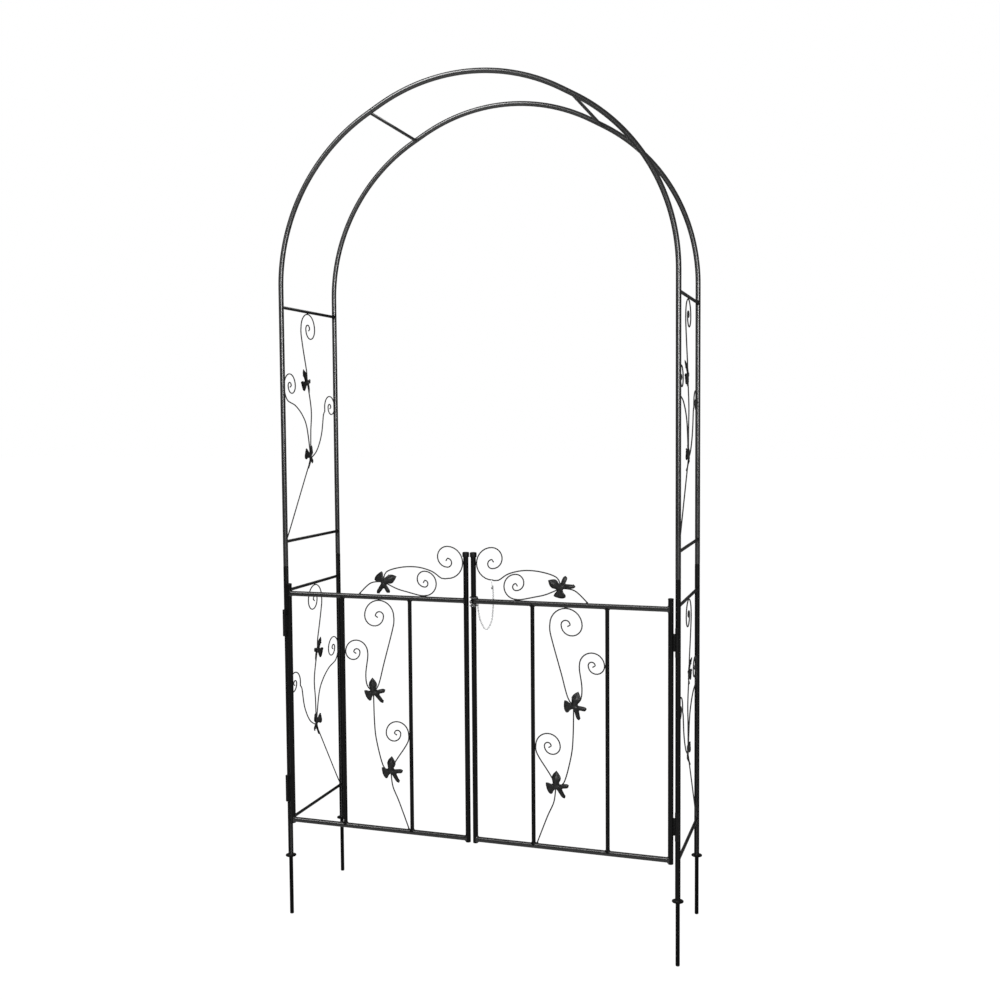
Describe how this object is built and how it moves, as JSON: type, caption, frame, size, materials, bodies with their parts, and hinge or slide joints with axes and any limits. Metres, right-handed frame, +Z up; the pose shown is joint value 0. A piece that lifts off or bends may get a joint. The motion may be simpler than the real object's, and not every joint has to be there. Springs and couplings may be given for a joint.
{
  "type": "garden arch with gate",
  "caption": "Tubular steel garden arch with scroll side panels and a two-leaf swinging gate, on stakes pushed into the ground.",
  "frame": {"origin": "centre of the footprint's bounding box, on the plane of the ground stakes' tips", "axes": "+Z up, X across the path with the hinge posts at both ends, +Y from the gate into the arch"},
  "size_m": [1.13, 0.3718, 2.3096],
  "materials": {
    "tube_paint": "satin black powder coat on steel tube",
    "scroll_paint": "satin black powder coat on steel wire and plate",
    "cap_plastic": "black moulded plastic",
    "chain_metal": "bright zinc-plated steel"
  },
  "bodies": {
    "frame": {"ground_stake_left_front": "tube_paint", "lower_post_left_front": "tube_paint", "upper_post_left_front": "tube_paint", "ground_stake_left_back": "tube_paint", "lower_post_left_back": "tube_paint", "upper_post_left_back": "tube_paint", "crossbar_left_lower_bottom": "tube_paint", "crossbar_left_lower_top": "tube_paint", "crossbar_left_upper_bottom": "tube_paint", "crossbar_left_upper_top": "tube_paint", "arch_rod_left": "tube_paint", "scroll_left_lower": "scroll_paint", "scroll_left_upper": "scroll_paint", "hinge_pin_left_lower": "tube_paint", "hinge_pin_left_upper": "tube_paint", "ground_stake_right_front": "tube_paint", "lower_post_right_front": "tube_paint", "upper_post_right_front": "tube_paint", "ground_stake_right_back": "tube_paint", "lower_post_right_back": "tube_paint", "upper_post_right_back": "tube_paint", "crossbar_right_lower_bottom": "tube_paint", "crossbar_right_lower_top": "tube_paint", "crossbar_right_upper_bottom": "tube_paint", "crossbar_right_upper_top": "tube_paint", "arch_rod_right": "tube_paint", "scroll_right_lower": "scroll_paint", "scroll_right_upper": "scroll_paint", "hinge_pin_right_lower": "tube_paint", "hinge_pin_right_upper": "tube_paint", "crown_bow_front": "tube_paint", "crown_bow_back": "tube_paint"},
    "left_leaf": {"left_leaf_hinge_stile": "tube_paint", "left_leaf_latch_stile": "tube_paint", "left_leaf_bottom_rail": "tube_paint", "left_leaf_top_rail": "tube_paint", "left_leaf_inner_bar": "tube_paint", "left_leaf_outer_bar": "tube_paint", "left_leaf_panel_scroll": "scroll_paint", "left_leaf_crest_scroll": "scroll_paint", "left_leaf_latch_cap": "cap_plastic", "left_leaf_hinge_cap": "cap_plastic", "left_leaf_hinge_barrel_lower": "tube_paint", "left_leaf_hinge_barrel_upper": "tube_paint"},
    "right_leaf": {"right_leaf_hinge_stile": "tube_paint", "right_leaf_latch_stile": "tube_paint", "right_leaf_bottom_rail": "tube_paint", "right_leaf_top_rail": "tube_paint", "right_leaf_inner_bar": "tube_paint", "right_leaf_outer_bar": "tube_paint", "right_leaf_panel_scroll": "scroll_paint", "right_leaf_crest_scroll": "scroll_paint", "right_leaf_latch_cap": "cap_plastic", "right_leaf_hinge_cap": "cap_plastic", "right_leaf_hinge_barrel_lower": "tube_paint", "right_leaf_hinge_barrel_upper": "tube_paint", "right_leaf_closing_chain": "chain_metal"}
  },
  "joints": [
    {"name": "right_leaf_hinge", "type": "hinge", "parent": "frame", "child": "right_leaf", "pos_m": [0.55, -0.17685, 0.3653], "axis": [0, 0, 1], "range_deg": [-25, 175]},
    {"name": "left_leaf_hinge", "type": "hinge", "parent": "frame", "child": "left_leaf", "pos_m": [-0.55, -0.17685, 0.3653], "axis": [0, 0, -1], "range_deg": [-25, 175]}
  ]
}
